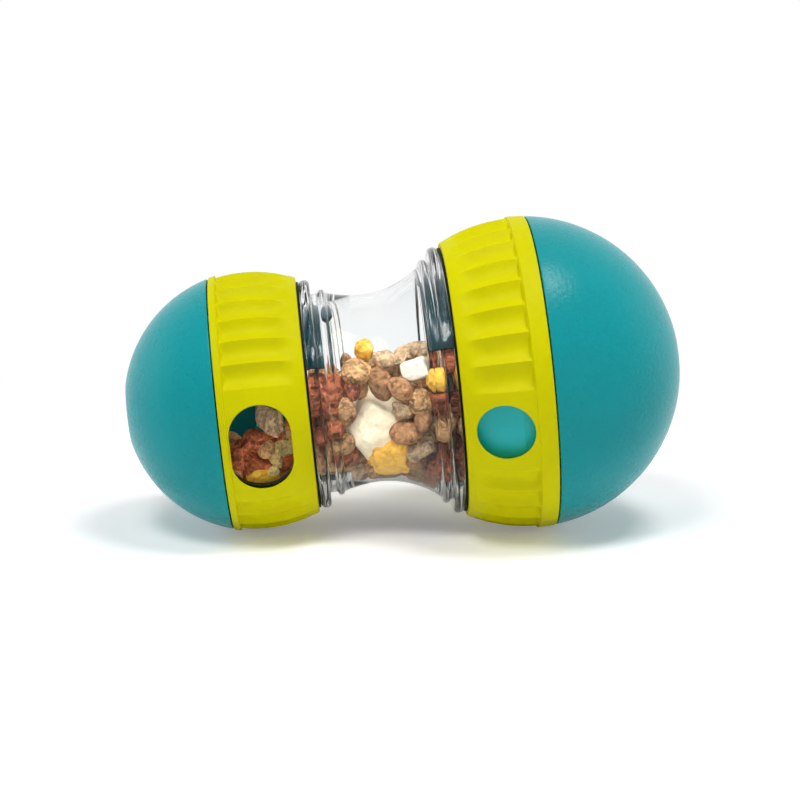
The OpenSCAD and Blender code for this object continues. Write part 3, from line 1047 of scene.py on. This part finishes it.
# Places of the stacked discs
DISC_STACK = ((0, 0, 0.34), (0.12, 0, 0), (0, 0.1, -0.34))

# Flats of the set chunks: direction and distance. The cream chunk's are in the toy's own directions
SET_FLATS = {
    "cream": (
        ((0.55, 0.3, 0.8), 0.80), ((-0.75, 0.25, 0.65), 0.80), ((-0.75, 0.1, -0.65), 0.80),
        ((1, 0.1, 0.1), 0.97), ((0.6, 0.2, -0.8), 0.88), ((0.1, 1, 0.15), 0.84), ((-0.4, 0.8, 0.4), 0.86),
        ((0.1, 0.8, -0.6), 0.86), ((0, -1, 0), 0.9), ((-0.15, 0, 1), 1.0), ((-0.25, 0, -1), 1.02),
        ((-1, 0, 0.05), 0.95),
    ),
    "white": (
        ((1, 0, 0.1), 0.9), ((-1, 0.05, 0.1), 0.88), ((0.05, 1, 0), 0.8), ((0, -1, 0), 0.8),
        ((0.1, 0.1, 1), 0.82), ((-0.05, 0.1, -1), 0.8), ((0.7, 0.3, 0.7), 1.0), ((-0.7, 0.3, -0.7), 0.98),
    ),
}
# Sharpness of the edges between flats
FACET_POWERS = {"russet": 7, "cream": 11, "white": 11, "beige": 11}

# Turns of the treats that lie as they are set, in the toy's own directions
SET_SPINS = {
    "cream": (0, 0, 0), "white": (0.1, -0.3, 0.25), "disc": (-0.4, -0.35, 0), "pale": (-1.35, 0.25, 0),
    "amber_large": (0, 0, 0),
}

# Treats that the heap is built round: kind, place and radius
SET_TREATS = (
    ("cream", (36.5, 14.5, -9.2), 11.4),
    ("amber_large", (41.2, 16.6, -17.0), 8.1),
    ("white", (51.0, 24.6, 9.0), 4.1),
    ("amber", (35.7, 18.5, 15.9), 3.3),
    ("beige", (51.6, 20.6, -15.2), 5.2),
    ("disc", (56.2, 20.0, -22.0), 5.4),
    ("russet", (22.8, 20.8, 2.9), 7.4),
    ("amber", (57.7, 30.3, 6.2), 3.8),
    ("round", (32.3, 20.9, 9.7), 5.0),
    ("round", (27.1, 24.4, -1.7), 4.4),
    ("oval", (39.9, 22.8, 5.4), 4.4),
    ("round", (51.6, 26.7, -0.8), 4.2),
    ("beige", (45.5, 24.9, -3.4), 3.6),
    ("oval", (52.1, 26.7, -6.0), 3.8),
    ("beige", (41.9, 22.2, 12.1), 2.8),
    ("russet", (30.7, 24.0, 4.2), 3.0),
    ("round", (26.3, 22.7, -12.0), 3.4),
    ("russet", (17.8, 21.3, -9.2), 3.4),
    ("russet", (24.3, 25.1, -6.5), 3.2),
    ("russet", (26.8, 18.6, -17.2), 3.6),
    ("russet", (60.6, 24.5, -17.3), 4.0),
    ("russet", (59.2, 29.5, -1.7), 4.4),
    ("russet", (61.1, 25.9, 12.6), 4.0),
    ("russet", (62.2, 28.0, 10.0), 4.0),
    ("beige", (44.0, 9.0, 9.2), 4.0),
    ("beige", (49.6, 5.0, 10.2), 4.2),
    ("beige", (54.6, 7.0, 10.6), 4.2),
    ("round", (38.6, 6.0, 9.2), 4.0),
    ("round", (21.6, 12.7, -21.0), 4.6),
    ("beige", (28.5, 10.0, -24.0), 3.8),
    ("round", (34.5, 9.0, -24.5), 3.8),
    ("round", (49.0, 10.0, -26.0), 3.8),
    ("oval", (53.6, 10.0, -28.5), 3.6),
    ("round", (60.6, 12.0, -30.0), 4.2),
    ("beige", (4.8, 24.9, -2.0), 4.7),
    ("russet", (-1.3, 27.1, -7.3), 3.9),
    ("round", (2.4, 28.2, -10.2), 3.0),
    ("pale", (6.9, 25.4, -13.0), 4.3),
    ("russet", (-1.7, 23.4, -15.3), 6.0),
    ("russet", (-6.9, 27.1, -12.3), 4.2),
    ("amber", (-0.2, 24.8, -19.8), 5.6),
    ("pale", (4.0, 28.2, -17.5), 1.8),
)


def room_table():
    """Free radius inside the toy along its length, away from the tongues and at them."""
    scene = bpy.context.scene
    sizes = scene.toy_waist
    along = np.arange(-38, 100, 0.25)
    clear = np.zeros(len(along))
    for index, s in enumerate(along):
        z = s - sizes.throat_s / MM
        _, _, groove_r, lip_at = waist_end(sizes, "small" if z < 0 else "large")
        arc_r, arc_mid = waist_arc(sizes, groove_r, lip_at)
        reach = min(abs(z) * MM, lip_at)
        inner = arc_mid - math.sqrt((arc_r + sizes.chamber_wall) ** 2 - reach ** 2)
        clear[index] = min(inner, groove_r - sizes.wall) / MM - WALL_GAP
    clear = np.where(along > LARGE_NECK_START, LARGE_NECK_R, clear)
    at_tongue = clear.copy()
    for start, end, radius in TONGUE_SPANS:
        at_tongue[(along > start) & (along < end)] = radius
    dome_r = scene.toy_small_end.dome_in_r / MM - DOME_GAP
    ball = np.sqrt(np.maximum(dome_r ** 2 - along ** 2, 0))
    for start, end, radius in (
        LARGE_SHOULDER,
        (LARGE_STEP, math.inf, drum_room(along - LARGE_DRUM[0], *LARGE_DRUM[1:])),
        SMALL_SHOULDER,
        (-math.inf, SMALL_STEP, drum_room(SMALL_DRUM[0] - along, *SMALL_DRUM[1:])),
        (-math.inf, SMALL_BALL_END, ball),
    ):
        here = (along > start) & (along < end)
        for table in (clear, at_tongue):
            table[here] = np.broadcast_to(radius, along.shape)[here]
    return along, clear, at_tongue


def drum_room(distance, radius, widening, widest):
    return np.minimum(radius + widening * distance, widest)


def free_radius(at, turned, table):
    """Free radius at places along the toy, given which of them are turned to a tongue."""
    along, clear, at_tongue = table
    return np.where(turned, np.interp(at, along, at_tongue), np.interp(at, along, clear))


def settle_treats(rng):
    """Drops a seeded heap of round bodies into the toy; returns their places and radii."""
    table = room_table()
    along, clear, _ = table
    fixed = len(SET_TREATS)
    radii = np.concatenate([[r for _, _, r in SET_TREATS], rng.uniform(*TREAT_RADII, TREAT_COUNT)])
    places = np.zeros((fixed + TREAT_COUNT, 3))
    places[:fixed] = [place for _, place, _ in SET_TREATS]
    for index in range(fixed, len(places)):
        while True:
            s = rng.uniform(PILE_START + START_MARGIN, PILE_END - START_MARGIN)
            n, h = rng.uniform(-START_REACH, START_REACH, 2)
            if math.hypot(n, h) < np.interp(s, along, clear) - radii[index]:
                break
        places[index] = s, n, h
    down = np.array([-math.sin(TILT), 0, -math.cos(TILT)])
    reach = (radii[:, None] + radii[None, :]) * CLOSENESS
    np.fill_diagonal(reach, 0)
    shares = np.linspace(-0.98, 0.98, 9)
    loose = slice(fixed, None)
    for step in range(SETTLE_STEPS):
        if step < FALL_STEPS:
            places[loose] += down * FALL
        gaps = places[:, None] - places[None, :]
        away = np.linalg.norm(gaps, axis=2) + 1e-9
        push = np.maximum(reach - away, 0) / away * PUSH
        places[loose] += np.einsum("ij,ijk->ik", push, gaps)[loose]
        places[loose, 0] = np.clip(places[loose, 0], PILE_START + radii[loose], PILE_END - radii[loose])
        radius = np.hypot(places[:, 1], places[:, 2])
        turned = at_tongues(places)
        limit = np.full(len(places), 1e3)
        for share in shares:
            free = free_radius(places[:, 0] + share * radii, turned, table)
            limit = np.minimum(limit, free - WALL_SHARE * radii * math.sqrt(1 - share ** 2))
        pull = np.where(radius > limit, np.maximum(limit, 0) / np.maximum(radius, 1e-6), 1)
        places[loose, 1:] *= pull[loose, None]
    return places, radii


def at_tongues(places):
    """True where a place lies in the turn that a tongue takes up."""
    turn = np.arctan2(places[:, 2], places[:, 1])
    return np.abs((2 * (turn - TONGUE_MIDDLE) + math.pi) % FULL_TURN - math.pi) / 2 < TONGUE_HALF


def keep_inside(points, table):
    """Presses points of a treat flat where they would reach through the walls."""
    limit = free_radius(points[:, 0], at_tongues(points), table)
    radius = np.hypot(points[:, 1], points[:, 2])
    points[:, 1:] *= np.minimum(limit / np.maximum(radius, 1e-6), 1)[:, None]
    return points


def shown_treats(places, radii):
    """Which treats stay: below the top of the heap, not deep inside it, and not in front of a set treat."""
    along, clear, _ = room_table()
    s, n, h = places.T
    level = s * math.sin(TILT) + h * math.cos(TILT)
    top = np.interp(s, *zip(*HEAP_TOP))
    top -= np.where(s < SLOPE_END, SLOPE * np.maximum(SLOPE_FROM - n, 0), 0)
    near_wall = np.hypot(n, h) + radii > np.interp(s, along, clear) - WALL_DEPTH
    stays = (level < top) & (near_wall | (level > top - TOP_DEPTH))
    for _, place, radius in SET_TREATS:
        to_side, to_near, to_top = (places - np.array(place)).T
        before = np.hypot(to_side, to_top - SIGHT_RISE * to_near) < radius * SIGHT_SHARE
        stays &= ~(before & (to_near > 0))
    stays[:len(SET_TREATS)] = True
    return stays


def soft_facets(points, normals, distances, power=14):
    """Draws points of a ball in to the flats of a chunk, with softened edges."""
    directions = points / np.linalg.norm(points, axis=1)[:, None]
    lean = np.maximum(directions @ normals.T, 0) / distances
    return directions / (lean ** power).sum(1)[:, None] ** (1 / power)


def chunk_flats(kind, rng):
    """Directions and distances of a chunk's flats, which are seeded where they aren't set."""
    axes = np.vstack([np.eye(3), -np.eye(3)])
    if kind in SET_FLATS:
        normals, distances = (np.array(part, float) for part in zip(*SET_FLATS[kind]))
    elif kind == "beige":
        normals = np.vstack([rng.normal(size=(8, 3)), axes + rng.normal(scale=0.3, size=(6, 3))])
        distances = rng.uniform(0.66, 0.92, len(normals))
    else:
        normals = np.vstack([axes + rng.normal(scale=0.16, size=(6, 3)), rng.normal(size=(1, 3))])
        distances = rng.uniform(0.72, 0.92, len(normals))
    return normals / np.linalg.norm(normals, axis=1)[:, None], distances


def roughen(piece, name, size, strength, variant):
    """Displaces a shape with a cloud pattern, which is taken from another place for each variant."""
    shift = np.array([7.0 * variant + 3.0, 2.0, 5.0])
    texture = bpy.data.textures.get(name) or bpy.data.textures.new(name, "CLOUDS")
    texture.noise_scale = size
    texture.noise_depth = 2
    set_points(piece, get_points(piece) + shift)
    displace = piece.modifiers.new(name, "DISPLACE")
    displace.texture = texture
    displace.texture_coords = "LOCAL"
    displace.mid_level = 0.5
    displace.strength = strength
    apply_modifier(piece, displace)
    set_points(piece, get_points(piece) - shift)


def disc_shape():
    """Models a domed disc of unit radius."""
    shape = lathe("disc_shape", DISC_PROFILE, 32, open_axis=True)
    roughen(shape, "disc_cloud", DISC_SIZE, DISC_UNEVEN, 0)
    return shape


def treat_shape(kind, variant, rng):
    """Models one treat of about unit radius."""
    _, fineness, stretch, broad, fine = FORMS[kind]
    deselect()
    bpy.ops.mesh.primitive_ico_sphere_add(subdivisions=fineness, radius=1)
    shape = name_piece(kind + "_shape")
    points = get_points(shape)
    if kind in FACET_POWERS:
        points = soft_facets(points, *chunk_flats(kind, rng), FACET_POWERS[kind])
    set_points(shape, points * np.array(stretch))
    roughen(shape, "broad_cloud", BROAD_SIZE, broad, variant)
    roughen(shape, "crumb_cloud", FINE_SIZE, fine, variant)
    return shape


class TOY_OT_treats(bpy.types.Operator):
    """Add the treats that fill the clear waist and show in the slot"""

    bl_idname = "toy.treats"
    bl_label = "Treats"

    def execute(self, context):
        rng = np.random.default_rng(TREAT_SEED)
        places, radii = settle_treats(rng)
        stays = shown_treats(places, radii)
        variants = {
            kind: [treat_shape(kind, variant, rng) for variant in range(form[0])]
            for kind, form in FORMS.items()
        }
        variants["disc"] = [disc_shape()]
        row = row_place()
        near, along = row.col[0].to_3d(), row.col[2].to_3d()
        upward = near.cross(along)
        if upward.z < 0:
            upward.negate()
        toy_axes = np.array([along, near, upward])
        origin = np.array(row.translation)
        table = room_table()
        for limit in table[1:]:
            for step in (SMALL_STEP, LARGE_STEP):
                beside = np.abs(table[0] - step) < STEP_MARGIN
                limit[beside] = limit[beside].min()
        groups = {}
        for index in np.nonzero(stays)[0]:
            kind = self.kind_at(index, places[index], rng)
            spin = Euler(rng.uniform(0, FULL_TURN, 3)).to_matrix()
            tone = self.tone_and_painted_light_at(places[index], rng.uniform())
            picked = variants[kind][int(rng.integers(len(variants[kind])))]
            if kind in SET_SPINS:
                spin = Matrix(toy_axes.T) @ Euler(SET_SPINS[kind]).to_matrix()
            for shift in DISC_STACK if kind == "disc" else ((0, 0, 0),):
                treat = picked.copy()
                treat.data = picked.data.copy()
                context.scene.collection.objects.link(treat)
                points = (get_points(treat) + np.array(shift)) * radii[index]
                points = keep_inside(points @ np.array(spin).T @ toy_axes.T + places[index], table)
                set_points(treat, origin + points @ toy_axes * MM)
                toning = treat.data.attributes.new("tone", "FLOAT", "POINT")
                toning.data.foreach_set("value", np.full(len(treat.data.vertices), tone))
                groups.setdefault(kind, []).append(treat)
        for shapes in variants.values():
            for shape in shapes:
                bpy.data.objects.remove(shape)
        for kind, treats in groups.items():
            self.join(kind, treats)
        return {"FINISHED"}

    @staticmethod
    def kind_at(index, place, rng):
        """The kind of a treat: more meaty chunks towards the ends, more kibble in the middle."""
        if index < len(SET_TREATS):
            return SET_TREATS[index][0]
        mix = END_MIX if place[0] < MIDDLE_START or place[0] > MIDDLE_END else MIDDLE_MIX
        return rng.choice(list(mix), p=list(mix.values()))

    @staticmethod
    def tone_and_painted_light_at(place, tone):
        """The tone of a treat, raised in the slot and in the small neck as painted light that brightens
        them.
        """
        if place[0] < SLOT_END:
            return tone + SLOT_PAINTED_LIGHT_TONE
        return NECK_PAINTED_LIGHT_TONE + NECK_SPREAD * tone if place[0] < NECK_END else tone

    @staticmethod
    def join(kind, treats):
        """Joins the treats of one kind into a piece."""
        deselect()
        for treat in treats:
            treat.select_set(True)
        bpy.context.view_layer.objects.active = treats[0]
        if len(treats) > 1:
            bpy.ops.object.join()
        heap = name_piece("treats_" + kind)
        smooth(heap, TREAT_SMOOTH)
        finish_piece(heap, treat_crust(kind), "waist")


# Stage

WHITE = (1, 1, 1, 1)
FLOOR_PAINT = (0.94, 0.94, 0.94, 1)
FLOOR_SIZE, FLOOR_DROP = 60, 0.0002
# Distances over which the floor turns to plain white, and how far its paint is lifted towards white before
WHITE_FROM, WHITE_AT = 0.12, 0.3
FLOOR_LIFT = 0.2
WORLD_LIGHT = 0.12

# Lamps: place, size, power and whether they show in gloss
LAMPS = {
    "key_light": ((-0.24, -0.46, 0.88), 0.3, 4.0, True),
    "fill_light": ((0.5, -0.7, 0.2), 0.6, 0.5, False),
    "top_light": ((0.22, -0.16, 0.86), 0.26, 3.4, True),
    "front_light": ((-0.1, -0.9, 0.1), 0.3, 0.6, False),
    "left_light": ((-0.7, 0.25, 0.2), 0.4, 2.4, False),
    "right_light": ((0.7, 0.25, 0.2), 0.4, 2.0, False),
}
LAMP_TARGET = Vector((0, 0, 0.045))

# Camera: turn round the toy, height above level, distance and the place it looks at
CAMERA_TURN, CAMERA_LIFT = math.radians(-3.0), math.radians(11.2)
CAMERA_AWAY = 0.7653
CAMERA_TARGET = Vector((-0.00083, 0, 0.04136))
LENS, SENSOR = 107.1, 36


class TOY_OT_stage(bpy.types.Operator):
    """Add the floor, the light and the camera"""

    bl_idname = "toy.stage"
    bl_label = "Stage"

    def execute(self, context):
        scene = context.scene
        scene.view_settings.view_transform = "Standard"
        self.floor()
        self.world(scene)
        self.lamps(scene)
        self.camera(scene)
        return {"FINISHED"}

    @staticmethod
    def seen_white(tree):
        """1 for the rays that see plain white: from the camera, off gloss and through clear plastic."""
        rays = tree.nodes.new("ShaderNodeLightPath").outputs
        first = calc(tree, "MAXIMUM", rays["Is Camera Ray"], rays["Is Glossy Ray"])
        return calc(tree, "MAXIMUM", first, rays["Is Transmission Ray"])

    def floor(self):
        deselect()
        bpy.ops.mesh.primitive_plane_add(size=FLOOR_SIZE, location=(0, 0, -FLOOR_DROP))
        floor = name_piece("floor")
        material = bpy.data.materials.new("pale_floor")
        material.use_nodes = True
        tree = material.node_tree
        tree.nodes.clear()
        seen = self.seen_white(tree)
        away = add_node(tree, "ShaderNodeVectorMath", {0: surface_place(tree)}, operation="LENGTH")
        far = span(tree, away.outputs["Value"], WHITE_FROM, WHITE_AT)
        lift = calc(tree, "MULTIPLY", seen, FLOOR_LIFT)
        paint = add_node(tree, "ShaderNodeBsdfDiffuse", {"Color": FLOOR_PAINT})
        lifted = add_node(tree, "ShaderNodeEmission", {"Color": WHITE, "Strength": lift})
        glow = add_node(tree, "ShaderNodeEmission", {"Color": WHITE, "Strength": 1.0})
        near = add_node(tree, "ShaderNodeAddShader", {0: paint.outputs[0], 1: lifted.outputs[0]})
        mix = add_node(tree, "ShaderNodeMixShader", {
            0: calc(tree, "MULTIPLY", far, seen), 1: near.outputs[0], 2: glow.outputs[0],
        })
        add_node(tree, "ShaderNodeOutputMaterial", {"Surface": mix.outputs[0]})
        floor.data.materials.append(material)

    def world(self, scene):
        world = bpy.data.worlds.new("studio")
        scene.world = world
        world.use_nodes = True
        tree = world.node_tree
        background = tree.nodes["Background"]
        level = add_node(tree, "ShaderNodeMapRange", {
            "Value": self.seen_white(tree), "To Min": WORLD_LIGHT, "To Max": 1.0,
        })
        connect(tree, background.inputs["Color"], WHITE)
        connect(tree, background.inputs["Strength"], level.outputs["Result"])

    @staticmethod
    def lamps(scene):
        for name, (place, size, power, in_gloss) in LAMPS.items():
            light = bpy.data.lights.new(name, "AREA")
            light.shape = "SQUARE"
            light.size = size
            light.energy = power
            lamp = bpy.data.objects.new(name, light)
            scene.collection.objects.link(lamp)
            lamp.visible_glossy = in_gloss
            lamp.location = place
            lamp.rotation_euler = (Vector(place) - LAMP_TARGET).to_track_quat("Z", "Y").to_euler()

    @staticmethod
    def camera(scene):
        level = math.cos(CAMERA_LIFT)
        back = Vector((
            math.sin(CAMERA_TURN) * level, -math.cos(CAMERA_TURN) * level, math.sin(CAMERA_LIFT),
        ))
        lens = bpy.data.cameras.new("camera")
        lens.lens = LENS
        lens.sensor_width = SENSOR
        camera = bpy.data.objects.new("camera", lens)
        scene.collection.objects.link(camera)
        camera.location = CAMERA_TARGET + back * CAMERA_AWAY
        camera.rotation_euler = back.to_track_quat("Z", "Y").to_euler()
        scene.camera = camera


class TOY_PT_panel(bpy.types.Panel):
    """Sizes, colours and steps of the treat dispenser"""

    bl_label = "Treat dispenser"
    bl_space_type = "VIEW_3D"
    bl_region_type = "UI"
    bl_category = "Treat dispenser"

    def draw(self, context):
        for step in STEPS:
            self.layout.operator(step.bl_idname)
        for attribute, group in GROUPS.items():
            box = self.layout.box()
            box.label(text=group.__doc__)
            for name in group.__annotations__:
                box.prop(getattr(context.scene, attribute), name)


GROUPS = {
    "toy_small_end": SmallEndSizes,
    "toy_large_end": LargeEndSizes,
    "toy_shells": ShellSizes,
    "toy_waist": WaistSizes,
    "toy_colours": FinishColours,
}
STEPS = (
    TOY_OT_domes, TOY_OT_collars, TOY_OT_waist, TOY_OT_inner_parts, TOY_OT_treats, TOY_OT_stage,
)


def register():
    for group in GROUPS.values():
        bpy.utils.register_class(group)
    for attribute, group in GROUPS.items():
        setattr(bpy.types.Scene, attribute, PointerProperty(type=group))
    for step in STEPS:
        bpy.utils.register_class(step)
    bpy.utils.register_class(TOY_PT_panel)


def unregister():
    bpy.utils.unregister_class(TOY_PT_panel)
    for step in reversed(STEPS):
        bpy.utils.unregister_class(step)
    for attribute in GROUPS:
        delattr(bpy.types.Scene, attribute)
    for group in reversed(GROUPS.values()):
        bpy.utils.unregister_class(group)


def main():
    register()
    bpy.ops.toy.domes()
    bpy.ops.toy.collars()
    bpy.ops.toy.waist()
    bpy.ops.toy.inner_parts()
    bpy.ops.toy.treats()
    bpy.ops.toy.stage()


if __name__ == "__main__":
    main()
